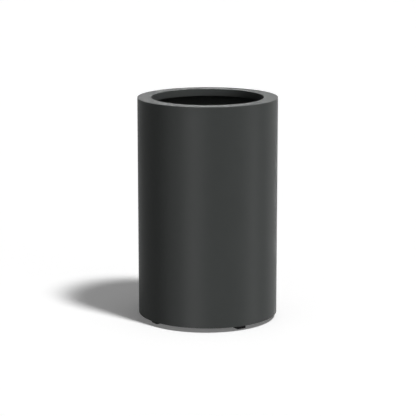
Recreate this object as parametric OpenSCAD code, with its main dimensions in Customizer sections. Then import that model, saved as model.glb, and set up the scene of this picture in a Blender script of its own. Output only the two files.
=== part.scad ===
// Tall round aluminium planter: a rolled wall with a wide flat rim, a recessed base on a cross of
// folded rails, and four square levelling feet that screw up and down. Millimetres, +Z up, with the
// origin on the floor under the planter's axis and the feet screwed right in.

/* [Body] */
// Outer diameter of the planter
body_d = 500; // [420:10:700]
// Height from the floor to the top of the rim
body_h = 800; // [400:10:1200]
// Thickness of the rolled wall
wall_t = 2; // [1.5:0.5:4]
// Gap between the floor and the wall's lower edge
floor_gap = 17; // [13:1:25]

/* [Rim] */
// Width of the flat rim, from the wall's outer face to the opening
rim_w = 50; // [30:1:80]
// Thickness of the rim ring and of the lip
rim_t = 2; // [1.5:0.5:4]
// Depth of the lip, measured from the rim's top face
lip_h = 25; // [12:1:60]
// Radius ground on the rim's outer and inner top edges
rim_edge_r = 0.8; // [0.3:0.1:1.2]

/* [Base] */
// Thickness of the base plate
base_t = 3; // [2:0.5:6]
// Gap around the base plate, filled by its stitch welds
base_fit = 0.2; // [0.1:0.1:0.5]
// Diameter of a drain hole
drain_d = 25; // [12:1:40]
// Distance from the wall's outer face to a drain hole's centre
drain_inset = 100; // [60:5:110]

/* [Rails] */
// Width of a rail's web
rail_w = 40; // [30:1:60]
// Height of a rail
rail_h = 30; // [26:1:40]
// Thickness of the rail sheet
rail_t = 2; // [1.5:0.5:3]
// Inside radius of a rail's bends
rail_bend_r = 2; // [1:0.5:3]
// Width of a rail's welding flange, outside its leg
rail_flange_w = 15; // [10:1:20]
// Length of rail beyond a foot's pad
rail_overhang = 10; // [5:1:14]
// Gap between the long rail's flange and a short rail's end
rail_gap = 1; // [0.5:0.5:3]

/* [Feet] */
// Distance from the wall's outer face to a foot's axis
foot_inset = 41; // [40:1:60]
// Side of the square pad
pad_w = 36; // [32:1:45]
// Radius of the pad's upright corners
pad_corner_r = 3; // [1.5:0.5:5]
// Height of the pad's square block
pad_block_h = 8.5; // [7:0.5:12]
// Height of the round hub on top of the block
pad_hub_h = 2; // [1:0.5:5]
// Diameter of the hub at its top
pad_hub_d = 22; // [21:0.5:26]
// Bevel round the block's top edge and up the hub
pad_bevel = 1; // [0.5:0.1:1.5]
// Width of pad left outside the sole
sole_inset = 1.5; // [1:0.5:3]
// Thickness of the rubber sole
sole_t = 2.5; // [2:0.5:4]
// Depth of the recess that holds the sole
sole_recess = 1; // [0.5:0.1:1.5]
// Gap round the sole in its recess
sole_fit = 0.2; // [0.1:0.1:0.4]

/* [Studs] */
// Diameter of the thread
thread_d = 10; // [9:1:12]
// Pitch of the thread
thread_pitch = 1.5; // [1:0.25:2]
// Depth of the thread's grooves
thread_depth = 0.8; // [0.4:0.1:1]
// Gap between the stud's top end and the base plate
thread_top_gap = 1.5; // [1:0.5:6]
// Bevel on the thread's end
thread_end_bevel = 1; // [0.5:0.1:1.5]
// Size across the flats of the stud's hexagon
hex_af = 17; // [15:1:19]
// Height of the stud's hexagon
hex_h = 5; // [4:0.5:7]
// Diameter of the plain neck that turns in the pad
neck_d = 8; // [7:0.5:9]
// Length of neck below the clip's groove
neck_tail = 0.8; // [0.5:0.1:1.5]
// Gap between the neck's end and the sole
neck_gap = 0.5; // [0.3:0.1:1]
// Radial clearance of the stud in its pad and in its nuts
running_fit = 0.08; // [0.03:0.01:0.1]

/* [Clips] */
// Outer diameter of the clip that keeps the stud in its pad
clip_d = 14; // [12:0.5:16]
// Thickness of the clip
clip_t = 0.9; // [0.6:0.1:1.5]
// Width of the clip's open mouth
clip_mouth = 5.8; // [4:0.2:6.4]
// Depth of the clip's groove in the neck
groove_depth = 0.5; // [0.3:0.1:0.8]
// Gap of the clip in its groove, on each side
groove_fit = 0.05; // [0.02:0.01:0.1]
// Play of the clip under the roof of its pocket
clip_play = 0.2; // [0.1:0.05:0.4]
// Radial gap round the clip in its pocket
clip_room = 0.5; // [0.3:0.1:1]

/* [Nuts] */
// Size across the flats of a lock nut
nut_af = 17; // [15:1:19]
// Height of a lock nut
nut_h = 5; // [4:0.5:8]
// Wall of a rivet nut, outside the thread
rivet_wall = 1.5; // [1:0.25:2.5]
// Diameter of a rivet nut's flange
rivet_flange_d = 18; // [17:0.5:20]
// Thickness of that flange
rivet_flange_t = 1.5; // [1:0.25:2.5]
// Diameter of the bulge that clamps the rail
rivet_bulge_d = 17; // [16.5:0.5:20]
// Height of that bulge
rivet_bulge_h = 5; // [3:0.5:7]
// Length of a rivet nut above its flange
rivet_len = 20; // [14:1:24]
// Radial gap of a rivet nut in its rail
rivet_fit = 0.05; // [0.02:0.01:0.1]

/* [Hidden] */
$fn = 96;

// Directions of the four feet, anticlockwise from +X
right = 0;
back = 90;
left = 180;
front = 270;
feet = [front, right, back, left];

// Radii
body_r = body_d / 2;
wall_in_r = body_r - wall_t;
opening_r = body_r - rim_w;
foot_r = body_r - foot_inset;
drain_r = body_r - drain_inset;
thread_r = thread_d / 2;
thread_bore_r = thread_r + running_fit;
rivet_r = thread_bore_r + rivet_wall;
hub_top_r = pad_hub_d / 2;
neck_r = neck_d / 2;
groove_r = neck_r - groove_depth;

// Heights, from the floor up
pad_z = sole_t - sole_recess;
block_top_z = pad_z + pad_block_h;
pad_top_z = block_top_z + pad_hub_h;
hex_top_z = pad_top_z + hex_h;
nut_top_z = hex_top_z + nut_h;
rail_z = nut_top_z + rivet_flange_t;
base_z = rail_z + rail_h;
thread_top_z = base_z - thread_top_gap;
neck_end_z = sole_t + neck_gap;
clip_z = neck_end_z + neck_tail + groove_fit;
pocket_top_z = clip_z + clip_t + clip_play;
rim_z = body_h - rim_t;

// How far a cut runs past the faces that it opens
cut = 1;

// Lengths
rail_reach = foot_r + pad_w / 2 + rail_overhang;
flange_reach = rail_w / 2 + rail_flange_w;
sole_w = pad_w - 2 * sole_inset;

// Colours
coat = [0.23, 0.24, 0.24];
black_nylon = [0.06, 0.06, 0.065];
black_rubber = [0.03, 0.03, 0.03];
zinc = [0.72, 0.73, 0.75];

// A round tube from height low to height high
module tube(outer_r, inner_r, low, high) {
    difference() {
        translate([0, 0, low]) cylinder(r = outer_r, h = high - low, $fn = 256);
        translate([0, 0, low - cut]) cylinder(r = inner_r, h = high - low + 2 * cut, $fn = 256);
    }
}

// The rolled wall, its seam ground flush
module outer_wall() {
    color(coat) tube(body_r, wall_in_r, floor_gap, rim_z);
}

// Cross-section of the rim ring, with both top edges ground round
module rim_section() {
    translate([opening_r, rim_z]) square([rim_w, rim_t - rim_edge_r]);
    translate([opening_r + rim_edge_r, rim_z]) square([rim_w - 2 * rim_edge_r, rim_t]);
    for (x = [opening_r + rim_edge_r, body_r - rim_edge_r])
        translate([x, body_h - rim_edge_r]) circle(r = rim_edge_r, $fn = 32);
}

module rim_ring() {
    color(coat) rotate_extrude($fn = 256) rim_section();
}

// The rolled strip that turns the rim down inside the opening
module rim_lip() {
    color(coat) tube(opening_r + rim_t, opening_r, body_h - lip_h, rim_z);
}

// The base disc, with one drain hole between each pair of rails
module base_plate() {
    color(coat) difference() {
        translate([0, 0, base_z]) cylinder(r = wall_in_r - base_fit, h = base_t, $fn = 256);
        for (a = feet) rotate(a + 45) translate([drain_r, 0, base_z - cut])
            cylinder(d = drain_d, h = base_t + 2 * cut);
    }
}

// A quarter of a bend: the part of a ring in the quadrant that sx and sy point to
module bend(sx, sy) {
    outer = rail_bend_r + rail_t;
    intersection() {
        difference() {
            circle(r = outer);
            circle(r = rail_bend_r);
        }
        translate([sx > 0 ? 0 : -outer, sy > 0 ? 0 : -outer]) square(outer);
    }
}

// Cross-section of a rail: a web below, two legs, and a flange outside each leg's top
module rail_section() {
    outer = rail_bend_r + rail_t;
    translate([-rail_w / 2 + outer, 0]) square([rail_w - 2 * outer, rail_t]);
    for (s = [0, 1]) mirror([s, 0]) {
        translate([rail_w / 2 - outer, outer]) bend(1, -1);
        translate([rail_w / 2 - rail_t, outer]) square([rail_t, rail_h - 2 * outer]);
        translate([rail_w / 2 + rail_bend_r, rail_h - outer]) bend(-1, 1);
        translate([rail_w / 2 + rail_bend_r, rail_h - rail_t])
            square([rail_flange_w - rail_bend_r, rail_t]);
    }
}

// A length of rail along +X from x = from to x = to, with a rivet nut's hole at each x in holes
module rail(from, to, holes) {
    difference() {
        translate([from, 0, rail_z]) rotate([90, 0, 90]) linear_extrude(to - from) rail_section();
        for (x = holes) translate([x, 0, rail_z - cut])
            cylinder(r = rivet_r + rivet_fit, h = rail_t + 2 * cut);
    }
}

module long_rail() {
    color(coat) rail(-rail_reach, rail_reach, [-foot_r, foot_r]);
}

module short_rail(a) {
    color(coat) rotate(a) rail(flange_reach + rail_gap, rail_reach, [foot_r]);
}

// A hexagonal prism from height low to height high, its corners turned off at both ends
module hexagon(af, low, high) {
    corner_r = af / 2 / cos(30);
    turned = (corner_r - af / 2) / 2;
    intersection() {
        translate([0, 0, low]) cylinder(r = corner_r, h = high - low, $fn = 6);
        rotate_extrude() polygon([
            [0, low], [af / 2, low], [corner_r, low + turned],
            [corner_r, high - turned], [af / 2, high], [0, high]
        ]);
    }
}

// Four blind rivet nuts, each clamped on a rail's web
module rivet_nuts() {
    bulge_low = rail_z + rail_t;
    bulge_high = bulge_low + rivet_bulge_h;
    color(zinc) for (a = feet) rotate(a) translate([foot_r, 0, 0]) rotate_extrude() polygon([
        [thread_bore_r, nut_top_z], [rivet_flange_d / 2, nut_top_z],
        [rivet_flange_d / 2, rail_z], [rivet_r, rail_z],
        [rivet_r, bulge_low], [rivet_bulge_d / 2, bulge_low],
        [rivet_bulge_d / 2, (bulge_low + bulge_high) / 2], [rivet_r, bulge_high],
        [rivet_r, rail_z + rivet_len], [thread_bore_r, rail_z + rivet_len]
    ]);
}

// Four lock nuts, each tight against its rivet nut's flange
module lock_nuts() {
    color(zinc) for (a = feet) rotate(a) translate([foot_r, 0, 0]) difference() {
        hexagon(nut_af, hex_top_z, nut_top_z);
        translate([0, 0, hex_top_z - cut]) cylinder(r = thread_bore_r, h = nut_h + 2 * cut);
    }
}

// A square block with upright round corners, from height low to height high
module rounded_block(w, corner_r, low, high) {
    h = high - low;
    translate([0, 0, low]) linear_extrude(h) {
        square([w, w - 2 * corner_r], center = true);
        square([w - 2 * corner_r, w], center = true);
        for (x = [-1, 1], y = [-1, 1]) translate([x, y] * (w / 2 - corner_r)) circle(r = corner_r);
    }
}

// The moulded pad of the foot in direction a: a square block with a hub, open below for its sole
// and for the clip on its stud
module foot_pad(a) {
    recess_w = sole_w + 2 * sole_fit;
    top_w = pad_w - 2 * pad_bevel;
    shoulder_z = block_top_z - pad_bevel;
    color(black_nylon) rotate(a) translate([foot_r, 0, 0]) difference() {
        union() {
            rounded_block(pad_w, pad_corner_r, pad_z, shoulder_z);
            rounded_block(top_w, pad_corner_r - pad_bevel / 2, shoulder_z, block_top_z);
            translate([0, 0, block_top_z])
                cylinder(r1 = hub_top_r + pad_bevel, r2 = hub_top_r, h = pad_hub_h);
        }
        rounded_block(recess_w, pad_corner_r, pad_z - cut, sole_t);
        translate([0, 0, pad_z]) cylinder(r = clip_d / 2 + clip_room, h = pocket_top_z - pad_z);
        translate([0, 0, pad_z]) cylinder(r = neck_r + running_fit, h = pad_top_z - pad_z + cut);
    }
}

// The rubber sole in that pad's recess
module foot_sole(a) {
    color(black_rubber) rotate(a) translate([foot_r, 0, 0])
        rounded_block(sole_w, pad_corner_r, 0, sole_t);
}

// Half of the stud's outline: its grooved neck, and a groove for each turn of the thread
function stud_outline() =
    let (root_r = thread_r - thread_depth,
         crest = thread_pitch / 4,
         groove_low = clip_z - groove_fit,
         groove_high = clip_z + clip_t + groove_fit,
         threaded = thread_top_z - thread_end_bevel - hex_top_z,
         turns = floor(threaded / thread_pitch),
         groove = [[thread_r, 0], [thread_r, crest], [root_r, (crest + thread_pitch) / 2]])
    concat(
        [[0, neck_end_z], [neck_r, neck_end_z], [neck_r, groove_low], [groove_r, groove_low],
         [groove_r, groove_high], [neck_r, groove_high], [neck_r, pad_top_z], [thread_r, pad_top_z]],
        [for (turn = [0:turns - 1], p = groove) [p[0], hex_top_z + turn * thread_pitch + p[1]]],
        [[thread_r, hex_top_z + turns * thread_pitch], [thread_r, thread_top_z - thread_end_bevel],
         [thread_r - thread_end_bevel, thread_top_z], [0, thread_top_z]]
    );

// The steel stud of the foot in direction a, which turns in its pad
module foot_stud(a) {
    color(zinc) rotate(a) translate([foot_r, 0, 0]) {
        rotate_extrude() polygon(stud_outline());
        hexagon(hex_af, pad_top_z, hex_top_z);
    }
}

// The open spring clip in that stud's groove
module foot_clip(a) {
    color(zinc) rotate(a) translate([foot_r, 0, clip_z]) difference() {
        cylinder(d = clip_d, h = clip_t);
        translate([0, 0, -cut]) cylinder(r = groove_r + groove_fit, h = clip_t + 2 * cut);
        translate([0, -clip_mouth / 2, -cut]) cube([clip_d, clip_mouth, clip_t + 2 * cut]);
    }
}

outer_wall();
rim_ring();
rim_lip();
base_plate();
long_rail();
short_rail(front);  // short_rail_front
short_rail(back);  // short_rail_back
rivet_nuts();
lock_nuts();
foot_pad(front);  // foot_pad_front
foot_pad(right);  // foot_pad_right
foot_pad(back);  // foot_pad_back
foot_pad(left);  // foot_pad_left
foot_sole(front);  // foot_sole_front
foot_sole(right);  // foot_sole_right
foot_sole(back);  // foot_sole_back
foot_sole(left);  // foot_sole_left
foot_stud(front);  // foot_stud_front
foot_stud(right);  // foot_stud_right
foot_stud(back);  // foot_stud_back
foot_stud(left);  // foot_stud_left
foot_clip(front);  // foot_clip_front
foot_clip(right);  // foot_clip_right
foot_clip(back);  // foot_clip_back
foot_clip(left);  // foot_clip_left
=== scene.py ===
import math

import bmesh
import bpy
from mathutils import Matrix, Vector


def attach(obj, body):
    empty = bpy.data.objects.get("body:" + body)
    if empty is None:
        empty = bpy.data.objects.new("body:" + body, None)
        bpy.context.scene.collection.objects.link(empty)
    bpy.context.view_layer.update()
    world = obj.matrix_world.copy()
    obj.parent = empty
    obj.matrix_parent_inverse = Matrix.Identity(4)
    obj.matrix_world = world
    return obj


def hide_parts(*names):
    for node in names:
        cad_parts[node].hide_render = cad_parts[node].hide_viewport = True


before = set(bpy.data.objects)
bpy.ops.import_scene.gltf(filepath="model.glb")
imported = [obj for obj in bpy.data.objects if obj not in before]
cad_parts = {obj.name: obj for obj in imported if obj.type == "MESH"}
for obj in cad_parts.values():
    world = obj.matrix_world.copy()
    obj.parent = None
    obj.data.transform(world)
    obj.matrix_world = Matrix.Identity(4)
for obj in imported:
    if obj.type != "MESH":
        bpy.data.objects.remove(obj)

# A tall round planter in dark powder-coated aluminium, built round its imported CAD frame.
# Everything is in metres, in the frame's own place. The sizes repeat those of the CAD source.
scene = bpy.context.scene
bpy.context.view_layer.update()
mm = 0.001
fullTurn = 2 * math.pi
mergeGap = 0.002 * mm         # points nearer than this become one


# Node trees are written as expressions on the outputs of their nodes

class Output:
    # One output of a node. Python's operators on it add Math nodes to its tree.
    def __init__(self, tree, socket):
        self.tree, self.socket = tree, socket

    def math(self, operation, other=0.0):
        return self.tree.math(operation, self, other)

    def __add__(self, other):
        return self.math("ADD", other)

    __radd__ = __add__

    def __sub__(self, other):
        return self.math("SUBTRACT", other)

    def __rsub__(self, other):
        return self.tree.math("SUBTRACT", other, self)

    def __mul__(self, other):
        return self.math("MULTIPLY", other)

    __rmul__ = __mul__

    def __truediv__(self, other):
        return self.math("DIVIDE", other)

    def __rtruediv__(self, other):
        return self.tree.math("DIVIDE", other, self)

    def __pow__(self, other):
        return self.math("POWER", other)

    def max(self, other):
        return self.math("MAXIMUM", other)

    def min(self, other):
        return self.math("MINIMUM", other)

    def above(self, limit):
        return self.math("GREATER_THAN", limit)

    def pick(self, name):
        # Another output of the same node
        return Output(self.tree, self.socket.node.outputs[name])


class Tree:
    # A node tree that is being built
    def __init__(self, nodeTree):
        self.nodeTree = nodeTree

    def add(self, kind, settings=None, values=None, output=0):
        # A node: first its settings, then a value, a link or a list of links for each socket
        node = self.nodeTree.nodes.new(kind)
        for name, value in (settings or {}).items():
            if name == "items":        # how many an Index Switch has
                while len(node.index_switch_items) < value:
                    node.index_switch_items.new()
            else:
                setattr(node, name, value)
        for name, value in (values or {}).items():
            if isinstance(value, Output):
                value = [value]
            if isinstance(value, list):
                for source in value:
                    self.nodeTree.links.new(source.socket, node.inputs[name])
            else:
                node.inputs[name].default_value = value
        if node.outputs:
            return Output(self, node.outputs[output])

    def math(self, operation, first, second):
        return self.add("ShaderNodeMath", {"operation": operation}, {0: first, 1: second})

    def vector(self, **parts):
        return self.add("ShaderNodeCombineXYZ", {}, parts)

    # What materials use

    def mixColour(self, share, first, second):
        return self.add("ShaderNodeMix", {"data_type": "RGBA"},
                        {0: share, 6: (*first, 1.0), 7: (*second, 1.0)}, 2)

    def noise(self, place, size, detail=2.0, roughness=0.5):
        return self.add("ShaderNodeTexNoise", {}, {"Vector": place, "Scale": 1.0 / size,
                                                    "Detail": detail, "Roughness": roughness})

    def bump(self, height, distance=1.0):
        return self.add("ShaderNodeBump", {}, {"Strength": 1.0, "Distance": distance, "Height": height})

    # What geometry uses

    def circle(self, points, radius):
        return self.add("GeometryNodeCurvePrimitiveCircle", {"mode": "RADIUS"},
                        {"Resolution": points, "Radius": radius})

    def line(self, start, end):
        return self.add("GeometryNodeCurvePrimitiveLine", {"mode": "POINTS"},
                        {"Start": start, "End": end})

    def joined(self, *parts):
        return self.add("GeometryNodeJoinGeometry", {}, {0: list(parts)})

    def merged(self, geometry):
        return self.add("GeometryNodeMergeByDistance", {}, {"Geometry": geometry, "Distance": mergeGap})

    def moved(self, geometry, **parts):
        return self.add("GeometryNodeTransform", {}, {
            "Geometry": geometry, "Translation": self.vector(**parts)})

    def spun(self, geometry, angle):
        return self.add("GeometryNodeTransform", {}, {
            "Geometry": geometry, "Rotation": self.vector(Z=angle)})


def blend(share, first, second):
    # The first value where the share is 1, and the second where it is 0
    return share * first + (1.0 - share) * second


cameraSet = {
    "lens": 153.48,           # mm
    "sensor": 36.0,           # mm
    "azimuth": -32.0,         # round the planter from the front foot, towards -X
    "distance": 6.2467,
    "sideways": 0.00125,
    "height": 1.7099,
    "pitch": -11.874,
    "seesTo": 200.0,
}


def makeCamera(s):
    turn = math.radians(s["azimuth"])
    ahead = Vector((-math.sin(turn), math.cos(turn), 0.0))
    side = Vector((ahead.y, -ahead.x, 0.0))
    camera = bpy.data.objects.new("camera", bpy.data.cameras.new("camera"))
    scene.collection.objects.link(camera)
    camera.data.sensor_width = s["sensor"]
    camera.data.lens = s["lens"]
    camera.data.clip_end = s["seesTo"]
    camera.location = side * s["sideways"] - ahead * s["distance"] + Vector((0, 0, s["height"]))
    camera.rotation_euler = (math.radians(90.0 + s["pitch"]), 0.0, turn)
    scene.camera = camera


makeCamera(cameraSet)
print("camera placed")


# Materials. A pattern's tone is how far it moves the colour, and its roughness how far
# it moves the whole roughness.

def newMaterial(name):
    material = bpy.data.materials.new(name)
    material.use_nodes = True
    material.node_tree.nodes.clear()
    tree = Tree(material.node_tree)
    return material, tree, tree.add("ShaderNodeTexCoord", output="Object")


def closeMaterial(tree, sockets):
    surface = tree.add("ShaderNodeBsdfPrincipled", {}, sockets)
    tree.add("ShaderNodeOutputMaterial", {}, {"Surface": surface})


coat = {
    "dark": (0.0658, 0.0702, 0.0687),
    "light": (0.0840, 0.0896, 0.0874),
    "cloud": 160 * mm,          # size of the faint tone patches
    "cloudTone": 0.8,
    "cloudRoughness": 0.10,
    "peel": 3.2 * mm,           # orange peel of the cured powder
    "peelHeight": 0.05 * mm,
    "grain": 0.65 * mm,         # fine texture of the powder
    "grainHeight": 0.09 * mm,
    "grainTone": 1.4,
    "grainRoughness": 0.12,
    "roughness": 0.49,
    "gloss": 0.04,
}


def powderCoat(s):
    material, tree, place = newMaterial("powderCoat")
    cloud = tree.noise(place, s["cloud"], detail=3.0)
    peel = tree.noise(place, s["peel"], detail=1.0)
    grain = tree.noise(place, s["grain"], roughness=0.6)
    patchy, grainy = cloud - 0.5, grain - 0.5
    tone = patchy * s["cloudTone"] + grainy * s["grainTone"] + 0.5
    height = peel * s["peelHeight"] + grain * s["grainHeight"]
    rough = patchy * s["cloudRoughness"] + grainy * s["grainRoughness"] + s["roughness"]
    closeMaterial(tree, {
        "Base Color": tree.mixColour(tone, s["dark"], s["light"]),
        "Roughness": rough,
        "Specular IOR Level": s["gloss"],
        "Normal": tree.bump(height),
    })
    return material


zinc = {
    "colour": (0.58, 0.59, 0.60),
    "warm": (0.60, 0.57, 0.50),
    "blotch": 4 * mm,           # size of the warm patches
    "blotchFrom": 0.45,         # level of the pattern at which they start
    "blotchTone": 3.0,
    "blotchRoughness": 0.16,
    "grain": 0.35 * mm,
    "grainHeight": 0.006 * mm,
    "grainRoughness": 0.10,
    "roughness": 0.20,
}


def zincPlate(s):
    material, tree, place = newMaterial("zincPlate")
    blotch = tree.noise(place, s["blotch"], detail=3.0)
    grain = tree.noise(place, s["grain"])
    warmth = (blotch - s["blotchFrom"]) * s["blotchTone"]
    closeMaterial(tree, {
        "Base Color": tree.mixColour(warmth, s["colour"], s["warm"]),
        "Metallic": 1.0,
        "Roughness": blotch * s["blotchRoughness"] + grain * s["grainRoughness"] + s["roughness"],
        "Normal": tree.bump(grain, s["grainHeight"]),
    })
    return material


spring = {
    "colour": (0.075, 0.078, 0.085),
    "rubbed": (0.16, 0.16, 0.165),
    "blotch": 2.5 * mm,         # size of the rubbed patches
    "blotchFrom": 0.5,
    "blotchTone": 2.5,
    "blotchRoughness": 0.2,
    "roughness": 0.28,
}


def springSteel(s):
    material, tree, place = newMaterial("springSteel")
    blotch = tree.noise(place, s["blotch"], detail=3.0)
    wear = (blotch - s["blotchFrom"]) * s["blotchTone"]
    closeMaterial(tree, {
        "Base Color": tree.mixColour(wear, s["colour"], s["rubbed"]),
        "Metallic": 1.0,
        "Roughness": blotch * s["blotchRoughness"] + s["roughness"],
    })
    return material


nylon = {
    "dark": (0.0055, 0.0055, 0.0060),
    "light": (0.0095, 0.0095, 0.0100),
    "grain": 0.45 * mm,         # eroded texture of the mould
    "grainHeight": 0.03 * mm,
    "grainTone": 0.4,
    "grainRoughness": 0.14,
    "flow": 14 * mm,            # size of the faint marks where the plastic flowed
    "flowTone": 0.6,
    "flowRoughness": 0.12,
    "roughness": 0.38,
    "gloss": 0.15,
}


def mouldedNylon(s):
    material, tree, place = newMaterial("mouldedNylon")
    grain = tree.noise(place, s["grain"], roughness=0.6)
    flow = tree.noise(place, s["flow"])
    tone = flow * s["flowTone"] + grain * s["grainTone"]
    closeMaterial(tree, {
        "Base Color": tree.mixColour(tone, s["dark"], s["light"]),
        "Roughness": flow * s["flowRoughness"] + grain * s["grainRoughness"] + s["roughness"],
        "Specular IOR Level": s["gloss"],
        "Normal": tree.bump(grain, s["grainHeight"]),
    })
    return material


rubber = {
    "dark": (0.0045, 0.0045, 0.0045),
    "scuffed": (0.0125, 0.0122, 0.0120),
    "grain": 0.7 * mm,
    "grainHeight": 0.08 * mm,
    "scuff": 6 * mm,            # size of the scuffed patches
    "scuffFrom": 0.5,
    "scuffTone": 3.0,
    "scuffRoughness": 0.2,
    "roughness": 0.68,
    "gloss": 0.10,
}


def soleRubber(s):
    material, tree, place = newMaterial("soleRubber")
    grain = tree.noise(place, s["grain"], detail=3.0, roughness=0.65)
    scuff = tree.noise(place, s["scuff"], detail=4.0, roughness=0.6)
    wear = (scuff - s["scuffFrom"]) * s["scuffTone"]
    closeMaterial(tree, {
        "Base Color": tree.mixColour(wear, s["dark"], s["scuffed"]),
        "Roughness": scuff * s["scuffRoughness"] + s["roughness"],
        "Specular IOR Level": s["gloss"],
        "Normal": tree.bump(grain, s["grainHeight"]),
    })
    return material


coatMaterial = powderCoat(coat)
zincMaterial = zincPlate(zinc)
springMaterial = springSteel(spring)
nylonMaterial = mouldedNylon(nylon)
rubberMaterial = soleRubber(rubber)
print("materials made")


socketKinds = {float: "NodeSocketFloat", int: "NodeSocketInt", bpy.types.Material: "NodeSocketMaterial"}
sharpAngle = math.radians(35)         # smooth shading breaks at edges sharper than this
flatAngle = math.radians(0.5)         # faces of a copy that meet flatter than this become one
bevelAngle = math.radians(40)         # edges sharper than this are rounded


def geometryTree(name, inputs):
    # A Geometry Nodes tree with a named input for each size, and a material
    group = bpy.data.node_groups.new(name, "GeometryNodeTree")
    group.is_modifier = True
    for label, kind in {**inputs, "Material": bpy.types.Material}.items():
        group.interface.new_socket(label, in_out="INPUT", socket_type=socketKinds[kind])
    group.interface.new_socket("Geometry", in_out="OUTPUT", socket_type="NodeSocketGeometry")
    tree = Tree(group)
    given = tree.add("NodeGroupInput")
    return tree, {label: given.pick(label) for label in (*inputs, "Material")}


def closeGeometry(tree, geometry, given):
    # Smooth shading that breaks at sharp edges, then plain geometry and its material
    smooth = tree.add("GeometryNodeSetShadeSmooth", {}, {"Geometry": geometry})
    angle = tree.add("GeometryNodeInputMeshEdgeAngle")
    sharp = tree.add("GeometryNodeSetShadeSmooth", {"domain": "EDGE"}, {
        "Geometry": smooth, "Selection": angle.above(sharpAngle), "Shade Smooth": False})
    real = tree.add("GeometryNodeRealizeInstances", {}, {"Geometry": sharp})
    done = tree.add("GeometryNodeSetMaterial", {}, {"Geometry": real, "Material": given["Material"]})
    tree.add("NodeGroupOutput", {}, {0: done})
    return tree.nodeTree


def finishPiece(name, host, material, body, replaced=()):
    # Keeps what the host's modifiers make as a plain mesh, riding on its body
    graph = bpy.context.evaluated_depsgraph_get()
    mesh = bpy.data.meshes.new_from_object(host.evaluated_get(graph))
    bpy.data.objects.remove(host)
    mesh.name = name
    mesh.materials.clear()
    mesh.materials.append(material)
    mesh.polygons.foreach_set("material_index", [0] * len(mesh.polygons))
    piece = bpy.data.objects.new(name, mesh)
    scene.collection.objects.link(piece)
    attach(piece, body)
    if replaced:
        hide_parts(*replaced)
    return piece


def addModifiers(host, modifiers):
    for kind, settings in (*modifiers, ("WEIGHTED_NORMAL", {"keep_sharp": True, "weight": 90})):
        added = host.modifiers.new(kind.lower(), kind)
        for label, value in settings.items():
            setattr(added, label, value)


def growPiece(name, group, sizes, material, body, replaced=(), modifiers=()):
    # Runs a Geometry Nodes tree at the given sizes
    host = bpy.data.objects.new(name + "Host", bpy.data.meshes.new(name + "Host"))
    scene.collection.objects.link(host)
    grow = host.modifiers.new("grow", "NODES")
    grow.node_group = group
    for item in group.interface.items_tree:
        if item.in_out == "INPUT":
            grow[item.identifier] = material if item.name == "Material" else sizes[item.name]
    addModifiers(host, modifiers)
    return finishPiece(name, host, material, body, replaced)


def roundEdges(width, segments=2):
    return ("BEVEL", {"width": width, "segments": segments, "limit_method": "ANGLE",
                      "angle_limit": bevelAngle, "miter_outer": "MITER_ARC"})


def softenPiece(name, node, edge, material, body):
    # A merged copy of a CAD node with its edges rounded, which stands for that node
    shape = bmesh.new()
    shape.from_mesh(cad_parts[node].data)
    bmesh.ops.remove_doubles(shape, verts=shape.verts, dist=mergeGap)
    bmesh.ops.dissolve_limit(shape, angle_limit=flatAngle, verts=shape.verts, edges=shape.edges)
    for face in shape.faces:
        face.smooth = True
    mesh = bpy.data.meshes.new(name + "Host")
    shape.to_mesh(mesh)
    shape.free()
    host = bpy.data.objects.new(mesh.name, mesh)
    scene.collection.objects.link(host)
    addModifiers(host, [roundEdges(edge, segments=3)])
    finishPiece(name, host, material, body, [node])


# Sizes that several pieces share
planter = {
    "radius": 250 * mm,
    "height": 800 * mm,
    "gap": 17 * mm,           # between the floor and the wall's lower edge
    "opening": 200 * mm,      # radius of the rim's opening
    "lip": 25 * mm,           # from the rim's top to the lip's lower edge
    "sheet": 2 * mm,          # wall, rim, lip and rails
    "base": 53.5 * mm,        # height of the base plate's underside
    "fit": 0.2 * mm,          # gap round the base plate, which its welds fill
}
inside = planter["radius"] - planter["sheet"]         # radius of the wall's inner face
underRim = planter["height"] - planter["sheet"]


# The wall, rim and lip are each a rounded section carried round the axis

def ringTree():
    tree, given = geometryTree("ring", {
        "Inner Radius": float, "Outer Radius": float, "Low": float, "High": float,
        "Top Round": float, "Low Round": float, "Segments": int, "Round Steps": int})
    inner, outer, low, high = (given[n] for n in ("Inner Radius", "Outer Radius", "Low", "High"))
    path = tree.add("GeometryNodeSetCurveNormal", {"mode": "Z_UP"}, {
        "Curve": tree.circle(given["Segments"], (inner + outer) / 2.0)})
    section = tree.add("GeometryNodeCurvePrimitiveQuadrilateral", {"mode": "RECTANGLE"},
                       {"Width": outer - inner, "Height": high - low})
    height = tree.add("ShaderNodeSeparateXYZ", {}, {0: tree.add("GeometryNodeInputPosition")}, "Y")
    section = tree.add("GeometryNodeFilletCurve", {"mode": "POLY"}, {
        "Curve": section, "Count": given["Round Steps"], "Limit Radius": True,
        "Radius": blend(height.above(0.0), given["Top Round"], given["Low Round"])})
    swept = tree.add("GeometryNodeCurveToMesh", {}, {"Curve": path, "Profile Curve": section})
    return closeGeometry(tree, tree.moved(swept, Z=(low + high) / 2.0), given)


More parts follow.
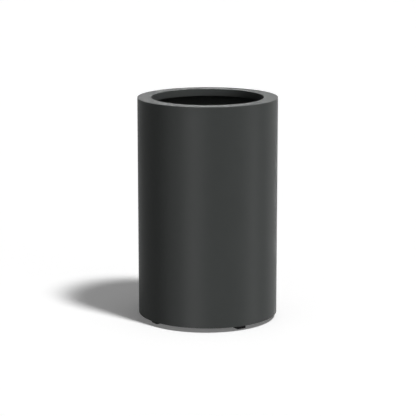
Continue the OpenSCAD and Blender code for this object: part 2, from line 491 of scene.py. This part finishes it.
ring = ringTree()
wall = {"Inner Radius": inside, "Outer Radius": planter["radius"],
        "Low": planter["gap"], "High": underRim,
        "Top Round": 0.05 * mm, "Low Round": 0.4 * mm, "Segments": 480, "Round Steps": 4}
rim = {"Inner Radius": planter["opening"], "Outer Radius": planter["radius"],
       "Low": underRim, "High": planter["height"],
       "Top Round": 0.8 * mm, "Low Round": 0.05 * mm, "Segments": 480, "Round Steps": 6}
lip = {"Inner Radius": planter["opening"], "Outer Radius": planter["opening"] + planter["sheet"],
       "Low": planter["height"] - planter["lip"], "High": underRim,
       "Top Round": 0.05 * mm, "Low Round": 0.5 * mm, "Segments": 400, "Round Steps": 4}
outerPieces = [
    growPiece("rolled_wall", ring, wall, coatMaterial, "root", ["outer_wall"]),
    growPiece("flat_rim", ring, rim, coatMaterial, "root", ["rim_ring"]),
    growPiece("rim_lip_strip", ring, lip, coatMaterial, "root", ["rim_lip"]),
]
print("wall, rim and lip made")


# The base plate is a disc with drain holes

def discTree():
    tree, given = geometryTree("disc", {
        "Radius": float, "Low": float, "Thickness": float, "Segments": int, "Drain Radius": float,
        "Drain Place": float, "Drain Count": int, "Drain Turn": float, "Drain Segments": int})
    edge = tree.circle(given["Segments"], given["Radius"])
    places = tree.add("GeometryNodeMeshCircle", {}, {"Vertices": given["Drain Count"],
                                                     "Radius": given["Drain Place"]})
    drains = tree.add("GeometryNodeInstanceOnPoints", {}, {
        "Points": places, "Instance": tree.circle(given["Drain Segments"], given["Drain Radius"])})
    drains = tree.spun(drains, given["Drain Turn"])
    outline = tree.joined(edge, tree.add("GeometryNodeRealizeInstances", {}, {"Geometry": drains}))
    face = tree.add("GeometryNodeFillCurve", {"mode": "NGONS"}, {"Curve": outline})
    top = tree.add("GeometryNodeExtrudeMesh", {"mode": "FACES"}, {
        "Mesh": face, "Offset Scale": given["Thickness"], "Individual": False})
    solid = tree.merged(tree.joined(tree.add("GeometryNodeFlipFaces", {}, {"Mesh": face}), top))
    return closeGeometry(tree, tree.moved(solid, Z=given["Low"]), given)


base = {"Radius": inside - planter["fit"], "Low": planter["base"], "Thickness": 3 * mm, "Segments": 360,
        "Drain Radius": 12.5 * mm, "Drain Place": 150 * mm, "Drain Count": 4,
        "Drain Turn": math.radians(45), "Drain Segments": 64, "Edge Round": 0.35 * mm}
growPiece("drained_base", discTree(), base, coatMaterial, "root", ["base_plate"],
          [roundEdges(base["Edge Round"])])
print("base plate made")


# A rail is a folded hat section, drawn along the middle of its sheet

def railTree():
    tree, given = geometryTree("foldedRail", {
        "Web Width": float, "Height": float, "Flange Width": float, "Sheet": float,
        "Bend Radius": float, "Bend Steps": int, "Low": float,
        "Start": float, "End": float, "Turn": float})
    half = given["Sheet"] / 2.0
    leg = given["Web Width"] / 2.0 - half
    reach = given["Web Width"] / 2.0 + given["Flange Width"]
    low, high = given["Low"] + half, given["Low"] + given["Height"] - half
    # Half of the section, from the web out to the flange's edge, and its mirror image before it
    right = [(leg, low), (leg, high), (reach, high)]
    corners = [(0.0 - y, z) for y, z in reversed(right)] + right
    points = [tree.vector(X=given["Start"], Y=y, Z=z) for y, z in corners]
    corner = tree.add("GeometryNodeIndexSwitch", {"data_type": "VECTOR", "items": len(points)},
                      {0: tree.add("GeometryNodeInputIndex"), **dict(enumerate(points, 1))})
    line = tree.add("GeometryNodeResampleCurve", {"mode": "COUNT"}, {
        "Curve": tree.add("GeometryNodeCurvePrimitiveLine"), "Count": len(points)})
    line = tree.add("GeometryNodeSetPosition", {}, {"Geometry": line, "Position": corner})
    line = tree.add("GeometryNodeFilletCurve", {"mode": "POLY"}, {
        "Curve": line, "Count": given["Bend Steps"], "Radius": given["Bend Radius"] + half})
    wire = tree.add("GeometryNodeCurveToMesh", {}, {"Curve": line})
    sheet = tree.add("GeometryNodeExtrudeMesh", {"mode": "EDGES"}, {
        "Mesh": wire, "Offset": tree.vector(X=1.0), "Offset Scale": given["End"] - given["Start"]})
    return closeGeometry(tree, tree.spun(sheet, given["Turn"]), given)


rail = {"Web Width": 40 * mm, "Height": 30 * mm, "Flange Width": 15 * mm, "Sheet": planter["sheet"],
        "Bend Radius": 2 * mm, "Bend Steps": 6, "Edge Round": 0.25 * mm}
rail["Low"] = planter["base"] - rail["Height"]
flangeEdge = rail["Web Width"] / 2 + rail["Flange Width"]       # from the rail's middle
railGap = 1 * mm              # between the long rail's flange and a short rail's end
shortStart, railEnd = flangeEdge + railGap, 237 * mm
# Start and end along the rail, and its turn in degrees
railRuns = {
    "long_rail": (-railEnd, railEnd, 0),
    "short_rail_front": (shortStart, railEnd, -90),
    "short_rail_back": (shortStart, railEnd, 90),
}
foldedRail = railTree()
for node, (start, end, turn) in railRuns.items():
    growPiece("folded_" + node, foldedRail,
              {**rail, "Start": start, "End": end, "Turn": math.radians(turn)},
              coatMaterial, "root", [node],
              [("SOLIDIFY", {"thickness": rail["Sheet"], "offset": 0.0, "use_even_offset": True}),
               roundEdges(rail["Edge Round"])])
print("rails made")


# Weld beads are rippled rods that lie in the corners they join

beadInputs = {"Bead Radius": float, "Bead Sides": int, "Ripple": float, "Ripple Depth": float,
              "Ripple Steps": float, "End Size": float, "Closed": float, "Path Points": int}


def beadAlong(tree, path, given):
    # A rippled bead on a curve. Where the curve is open its ends are quarter circles.
    path = tree.add("GeometryNodeResampleCurve", {"mode": "LENGTH"}, {
        "Curve": path, "Length": given["Ripple"] / given["Ripple Steps"]})
    along = tree.add("GeometryNodeSplineParameter", output="Length")
    total = tree.add("GeometryNodeSplineLength")
    ripple = (along / given["Ripple"]).math("FRACT")
    swell = 1.0 - ripple * ripple * given["Ripple Depth"]
    toEnd = (along.min(total - along) / given["Bead Radius"]).min(1.0)
    ends = (1.0 - (1.0 - toEnd) ** 2.0).max(given["End Size"] ** 2.0) ** 0.5
    tube = tree.circle(given["Bead Sides"], given["Bead Radius"])
    return tree.add("GeometryNodeCurveToMesh", {}, {
        "Curve": path, "Profile Curve": tube, "Scale": swell * blend(given["Closed"], 1.0, ends),
        "Fill Caps": True})


def ringBeadTree():
    tree, given = geometryTree("ringBead", {**beadInputs, "Radius": float, "Height": float})
    bead = beadAlong(tree, tree.circle(given["Path Points"], given["Radius"]), given)
    return closeGeometry(tree, tree.moved(bead, Z=given["Height"]), given)


def arcStitchTree():
    # A ring of stitches, each an arc of the same length
    tree, given = geometryTree("arcStitches", {
        **beadInputs, "Radius": float, "Height": float, "Count": int, "Stitch": float, "First": float})
    path = tree.add("GeometryNodeCurveArc", {"mode": "RADIUS"}, {
        "Resolution": given["Path Points"], "Radius": given["Radius"],
        "Start Angle": given["First"], "Sweep Angle": given["Stitch"] / given["Radius"]})
    number = tree.add("GeometryNodeInputIndex")
    copies = tree.add("GeometryNodeInstanceOnPoints", {}, {
        "Points": tree.add("GeometryNodePoints", {}, {"Count": given["Count"]}),
        "Instance": beadAlong(tree, path, given),
        "Rotation": tree.vector(Z=number * fullTurn / given["Count"])})
    return closeGeometry(tree, tree.moved(copies, Z=given["Height"]), given)


def lineStitchTree():
    # Two mirrored rows of stitches, along both flanges of a rail
    tree, given = geometryTree("lineStitches", {
        **beadInputs, "Aside": float, "Height": float, "Count": int, "Stitch": float,
        "Start": float, "End": float, "Turn": float})
    half = given["Stitch"] / 2.0
    bead = beadAlong(tree, tree.line(tree.vector(X=0.0 - half), tree.vector(X=half)), given)
    start, end = (tree.vector(X=given[label], Y=given["Aside"], Z=given["Height"])
                  for label in ("Start", "End"))
    row = tree.add("GeometryNodeResampleCurve", {"mode": "COUNT"}, {
        "Curve": tree.line(start, end), "Count": given["Count"]})
    near = tree.add("GeometryNodeInstanceOnPoints", {}, {"Points": row, "Instance": bead})
    far = tree.moved(near, Y=given["Aside"] * -2.0)
    return closeGeometry(tree, tree.spun(tree.joined(near, far), given["Turn"]), given)


# The depth and the end's size are shares of a bead's radius
beadShape = {"Bead Sides": 10, "Ripple Depth": 0.22, "Ripple Steps": 5.0, "End Size": 0.2}
stitch = {**beadShape, "Bead Radius": 2.1 * mm, "Ripple": 2.2 * mm, "Closed": 0.0, "Path Points": 24}
rimBead = {**beadShape, "Bead Radius": 1.8 * mm, "Ripple": 3.2 * mm, "Closed": 1.0, "Path Points": 240}
# How far the middle of a bead lies from the faces that it joins
beadInset = {"base": 0.5 * mm, "flange": 0.3 * mm, "corner": 0.6 * mm}
arcStitches, lineStitches, ringBead = arcStitchTree(), lineStitchTree(), ringBeadTree()

baseWelds = {
    "weld_base_below": {"Height": base["Low"] - beadInset["base"],
                        "Stitch": 45 * mm, "First": math.radians(12)},
    "weld_base_above": {"Height": base["Low"] + base["Thickness"] + beadInset["base"],
                        "Stitch": 30 * mm, "First": 0.0},
}
for name, sizes in baseWelds.items():
    growPiece(name, arcStitches, {**stitch, "Count": 12, "Radius": inside - beadInset["base"], **sizes},
              coatMaterial, "root")

railWeld = {**stitch, "Aside": flangeEdge + beadInset["flange"],
            "Height": base["Low"] - beadInset["corner"], "Stitch": 26 * mm}
weldStart, weldEnd = 65 * mm, 205 * mm
# Middles of the first and last stitch, turn in degrees, stitches on each flange
railWelds = {
    "weld_long_rail": (-weldEnd, weldEnd, 0, 7),
    "weld_short_rail_front": (weldStart, weldEnd, -90, 3),
    "weld_short_rail_back": (weldStart, weldEnd, 90, 3),
}
for name, (start, end, turn, count) in railWelds.items():
    growPiece(name, lineStitches,
              {**railWeld, "Start": start, "End": end, "Turn": math.radians(turn), "Count": count},
              coatMaterial, "root")

rimWelds = {"weld_rim_wall": inside - beadInset["corner"],
            "weld_rim_lip": lip["Outer Radius"] + beadInset["corner"]}
for name, radius in rimWelds.items():
    growPiece(name, ringBead, {**rimBead, "Radius": radius, "Height": underRim - beadInset["corner"]},
              coatMaterial, "root")
print("welds made")


# A stud is one grid of rows that climb with the thread, and a turned hexagon

def stepped(points, number):
    # Radius and height of the point that a row's number reaches
    reached = list(points[0])
    for index, point in enumerate(points[1:], 1):
        passed = number.above(index - 0.5)
        reached = [blend(passed, point[n], reached[n]) for n in (0, 1)]
    return reached


def turned(tree, columns, rows, around, radius, height):
    # Carries a flat grid round the axis and closes its seam and its poles
    grid = tree.add("GeometryNodeMeshGrid", {}, {
        "Size X": 1.0, "Size Y": 1.0, "Vertices X": columns + 1.0, "Vertices Y": rows})
    point = tree.vector(X=radius * around.math("COSINE"), Y=radius * around.math("SINE"), Z=height)
    return tree.merged(tree.add("GeometryNodeSetPosition", {}, {"Geometry": grid, "Position": point}))


def studTree():
    tree, given = geometryTree("threadedStud", {
        "Thread Radius": float, "Pitch": float, "Depth": float, "Root Flat": float, "Flanks": float,
        "Thread Low": float, "Thread High": float, "Run In": float, "Run Out": float,
        "Tip Rise": float, "Tip Inset": float, "Neck Radius": float, "Groove Radius": float,
        "Neck Low": float, "Groove Low": float, "Groove High": float, "Hex Width": float,
        "Hex Low": float, "Hex High": float, "Corner Slope": float, "Away": float, "Turn": float,
        "Turn Rows": int, "Thread Rows": int, "Columns": int, "Hex Columns": int})
    across = tree.add("ShaderNodeSeparateXYZ", {}, {0: tree.add("GeometryNodeInputPosition")})
    around = (across + 0.5) * fullTurn             # angle of a column
    up = across.pick("Y") + 0.5                    # 0 at the first row, 1 at the last
    root = given["Thread Radius"] - given["Depth"]
    threadLow, threadTop = given["Thread Low"], given["Thread High"] - given["Tip Rise"]

    # The first rows turn the neck, the next climb the thread, and the last close its end
    slim, groove = given["Neck Radius"], given["Groove Radius"]
    neck = [(0.0, given["Neck Low"]), (slim, given["Neck Low"]), (slim, given["Groove Low"]),
            (groove, given["Groove Low"]), (groove, given["Groove High"]), (slim, given["Groove High"]),
            (slim, given["Hex Low"]), (root, given["Hex High"])]
    tip = [(root, threadTop), (root - given["Tip Inset"], given["Thread High"]),
           (0.0, given["Thread High"])]
    first = float(len(neck))
    rows = given["Thread Rows"] + (first + len(tip))
    row = (up * (rows - 1.0)).math("ROUND")
    turns = (row - first) / given["Turn Rows"]     # turns that a row has climbed
    rise = (turns + around / fullTurn - 1.0) * given["Pitch"]
    wave = (turns.math("FRACT") - 0.5).math("ABSOLUTE") * 2.0
    crest = ((wave - given["Root Flat"]) / given["Flanks"]).min(1.0).max(0.0)
    height = (threadLow + rise).max(threadLow).min(threadTop)
    fade = ((height - threadLow) / given["Run In"]).min(1.0)
    fade = fade.min((threadTop - height) / given["Run Out"])
    radius = root + given["Depth"] * crest * fade
    tipRow = row - given["Thread Rows"] - first
    inThread, inTip = row.above(first - 0.5), tipRow.above(-0.5)
    neckRadius, neckHeight = stepped(neck, row)
    tipRadius, tipHeight = stepped(tip, tipRow)
    radius = blend(inTip, tipRadius, blend(inThread, radius, neckRadius))
    height = blend(inTip, tipHeight, blend(inThread, height, neckHeight))
    rod = turned(tree, given["Columns"], rows, around, radius, height)

    # The hexagon: out to its flats, up its sides, and back, with its corners turned off
    flat, sixth = given["Hex Width"] / 2.0, math.radians(60)
    fromFlat = ((around / sixth).math("FRACT") - 0.5) * sixth
    side = flat / fromFlat.math("COSINE")
    turnedOff = (side - flat) * given["Corner Slope"]
    low, high = given["Hex Low"], given["Hex High"]
    outline = [(0.0, low), (flat, low), (side, low + turnedOff),
               (side, high - turnedOff), (flat, high), (0.0, high)]
    level = (up * (len(outline) - 1.0)).math("ROUND")
    hexagon = turned(tree, given["Hex Columns"], len(outline), around, *stepped(outline, level))
    placed = tree.moved(tree.joined(rod, hexagon), X=given["Away"])
    return closeGeometry(tree, tree.spun(placed, given["Turn"]), given)


stud = {
    "Thread Radius": 5 * mm, "Pitch": 1.5 * mm, "Depth": 0.8 * mm,
    "Root Flat": 0.25, "Flanks": 0.6,                 # as shares of the pitch
    "Thread Low": 17 * mm, "Thread High": 52 * mm,
    "Run In": 1.2 * mm, "Run Out": 1 * mm,            # heights over which the thread starts and ends
    "Tip Rise": 0.2 * mm, "Tip Inset": 0.8 * mm,      # bevel of the core's end
    "Neck Radius": 4 * mm, "Groove Radius": 3.5 * mm,
    "Neck Low": 3 * mm, "Groove Low": 3.8 * mm, "Groove High": 4.8 * mm,
    "Hex Width": 17 * mm, "Hex Low": 12 * mm, "Hex High": 17 * mm,
    "Corner Slope": 0.5,                              # drop of a corner for its reach past the flats
    "Away": 209 * mm,                                 # from the planter's axis
    "Turn Rows": 8, "Columns": 40, "Hex Columns": 72,
}
threadTurns = (stud["Thread High"] - stud["Thread Low"]) / stud["Pitch"]
stud["Thread Rows"] = math.ceil(threadTurns + 1) * stud["Turn Rows"]
threadedStud = studTree()
feet = {"front": -90, "right": 0, "back": 90, "left": 180}
for side, turn in feet.items():
    growPiece("threaded_stud_" + side, threadedStud, {**stud, "Turn": math.radians(turn)},
              zincMaterial, "stud_" + side, ["foot_stud_" + side])
print("studs made")


# Pads and soles are softened copies, and the other CAD nodes keep their shape

softEdge = {"pad": 0.4 * mm, "sole": 0.5 * mm}
for side in feet:
    softenPiece("moulded_pad_" + side, "foot_pad_" + side, softEdge["pad"],
                nylonMaterial, "pad_" + side)
    softenPiece("rubber_sole_" + side, "foot_sole_" + side, softEdge["sole"],
                rubberMaterial, "pad_" + side)

finishes = {"rivet_nuts": zincMaterial, "lock_nuts": zincMaterial}
finishes.update({"foot_clip_" + side: springMaterial for side in feet})
for name, material in finishes.items():
    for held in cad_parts[name].material_slots:
        held.material = material
print("feet finished")


white = (1.0, 1.0, 1.0, 1.0)
floor = {
    "radius": 60.0,
    "sides": 96,
    "seenTint": (0.975, 0.975, 0.975),             # what the camera and reflections see in full light
    "litTint": (0.03, 0.03, 0.03),                 # what throws light back on the planter
    "fill": 0.224,                                 # pale backdrop light in the floor's shadow
    "paintedShadeFill": 0.147,                            # and what is left of it under the planter, a painted shade
    "paintedShadeReach": planter["radius"] + 5 * mm,      # from the axis to where that painted shade ends
    "fade": 0.10,                                  # and how far it takes the painted shade to give way to the full fill
}


def seenShare(tree):
    # 1 for rays from the camera and for those that metal or glass sends on, 0 for others
    ray = tree.add("ShaderNodeLightPath", output="Is Camera Ray")
    return ray.max(ray.pick("Is Glossy Ray")).max(ray.pick("Is Transmission Ray"))


def makeFloor(s):
    mesh = bpy.data.meshes.new("studioFloor")
    shape = bmesh.new()
    bmesh.ops.create_circle(shape, cap_ends=True, segments=s["sides"], radius=s["radius"])
    shape.to_mesh(mesh)
    shape.free()
    studioFloor = bpy.data.objects.new("studioFloor", mesh)
    scene.collection.objects.link(studioFloor)
    material, tree, place = newMaterial("paleFloor")
    # Painted shade: the floor's glow drops to its lower level under the planter and comes back outside
    # its edge
    fromAxis = tree.add("ShaderNodeVectorMath", {"operation": "LENGTH"}, {0: place}, "Value")
    away = (fromAxis - s["paintedShadeReach"]).max(0.0)
    paintedShadeShare = (away * (-1.0 / s["fade"])).math("EXPONENT")
    fill = paintedShadeShare * (s["paintedShadeFill"] - s["fill"]) + s["fill"]
    shown = tree.add("ShaderNodeAddShader", {}, {
        0: tree.add("ShaderNodeBsdfDiffuse", {}, {"Color": (*s["seenTint"], 1.0)}),
        1: tree.add("ShaderNodeEmission", {}, {"Color": white, "Strength": fill})})
    unseen = tree.add("ShaderNodeBsdfDiffuse", {}, {"Color": (*s["litTint"], 1.0)})
    tree.add("ShaderNodeOutputMaterial", {}, {
        "Surface": tree.add("ShaderNodeMixShader", {}, {0: seenShare(tree), 1: unseen, 2: shown})})
    mesh.materials.append(material)
    studioFloor.visible_shadow = False      # it lets the sheen's lights through from below


keyLight = {
    "azimuth": 13.25,         # from the front foot towards +X
    "elevation": 62.4,
    "width": 6.7,             # degrees that it spans, seen from the planter
    "height": 12.4,
    "strength": 2.7,
}


def direction(azimuth, elevation):
    a, e = math.radians(azimuth), math.radians(elevation)
    return Vector((math.sin(a) * math.cos(e), -math.cos(a) * math.cos(e), math.sin(e)))


# Soft lights: azimuth, elevation, degrees that each spans, strength
sideLights = {
    "leftFlat": (-47.0, 1.8, 5.0, 0.17),
    "frontFlat": (-32.0, 1.8, 5.0, 0.21),
    "leftHigh": (-72.0, 12.0, 30.0, 0.085),
    "frontHigh": (-32.0, 12.0, 30.0, 0.125),
    "rightHigh": (8.0, 12.0, 30.0, 0.15),
    "behindFlat": (148.0, 1.8, 5.0, 0.12),
    "behindHigh": (148.0, 14.0, 16.0, 0.06),
}
sheenRise = -12.0             # elevation from which the coat mirrors a light to the camera
# Low lights behind that only the sheen shows: azimuth, degrees that each spans, strength
sheenLights = {
    "sheenEdge": (98.0, 5.0, 0.28),
    "sheenBack": (123.0, 5.0, 0.18),
}
# Gridded strip lights that only the sheen shows, each aimed at one upright line of
# the wall: azimuth of the light, azimuth of the line, watts
stripLights = {
    "stripFront": (-47.0, -39.5, 0.45),
    "stripLeft": (-60.0, -46.0, 0.84),
    "stripFarLeft": (-92.0, -62.0, 0.25),
    "stripRight": (48.0, 8.0, 0.57),
}
strip = {
    "width": 100 * mm,
    "height": 1600 * mm,
    "spread": 8.0,            # degrees
    "reach": 2000 * mm,       # from the line that it is aimed at
}
room = 0.010                  # what the rest of the room adds


def makeLamp(name, kind, toLight, strength):
    light = bpy.data.lights.new(name, kind)
    light.energy = strength
    lamp = bpy.data.objects.new(name, light)
    scene.collection.objects.link(lamp)
    lamp.rotation_euler = toLight.to_track_quat("Z", "Y").to_euler()
    return lamp


def makeSun(name, toLight, span, strength):
    sun = makeLamp(name, "SUN", toLight, strength)
    sun.data.angle = math.radians(span)
    return sun


def makeStrip(s, name, azimuth, line, watts):
    toLight = direction(azimuth, sheenRise)
    lamp = makeLamp(name, "AREA", toLight, watts)
    lamp.data.shape = "RECTANGLE"
    lamp.data.size = s["width"]
    lamp.data.size_y = s["height"]
    lamp.data.spread = math.radians(s["spread"])
    aim = direction(line, 0.0) * planter["radius"] + Vector((0, 0, planter["height"] / 2))
    lamp.location = aim + toLight * s["reach"]
    lamp.visible_camera = False
    return lamp


def keepToSheen(lamp, coated):
    lamp.visible_diffuse = False
    lamp.light_linking.receiver_collection = coated


def makeKey(s):
    # A tall soft light: round suns stacked over its height
    rise = (s["height"] - s["width"]) / 2
    steps = (-1, 0, 1)
    for number, step in enumerate(steps):
        toKey = direction(s["azimuth"], s["elevation"] + step * rise)
        makeSun(f"key{number}", toKey, s["width"], s["strength"] / len(steps))


def makeWorld(level):
    world = bpy.data.worlds.new("studio")
    world.use_nodes = True
    world.node_tree.nodes.clear()
    scene.world = world
    tree = Tree(world.node_tree)
    background = tree.add("ShaderNodeBackground", {}, {
        "Color": white, "Strength": seenShare(tree).max(level)})
    tree.add("ShaderNodeOutputWorld", {}, {"Surface": background})


makeFloor(floor)
makeKey(keyLight)
for name, (azimuth, elevation, span, strength) in sideLights.items():
    makeSun(name, direction(azimuth, elevation), span, strength)
# The sheen's lights reach only the wall, rim and lip, so the zinc of the feet doesn't glare
coated = bpy.data.collections.new("coated")
for piece in outerPieces:
    coated.objects.link(piece)
for name, (azimuth, span, strength) in sheenLights.items():
    keepToSheen(makeSun(name, direction(azimuth, sheenRise), span, strength), coated)
for name, (azimuth, line, watts) in stripLights.items():
    keepToSheen(makeStrip(strip, name, azimuth, line, watts), coated)
makeWorld(room)
scene.view_settings.view_transform = "Standard"
print("studio lit")
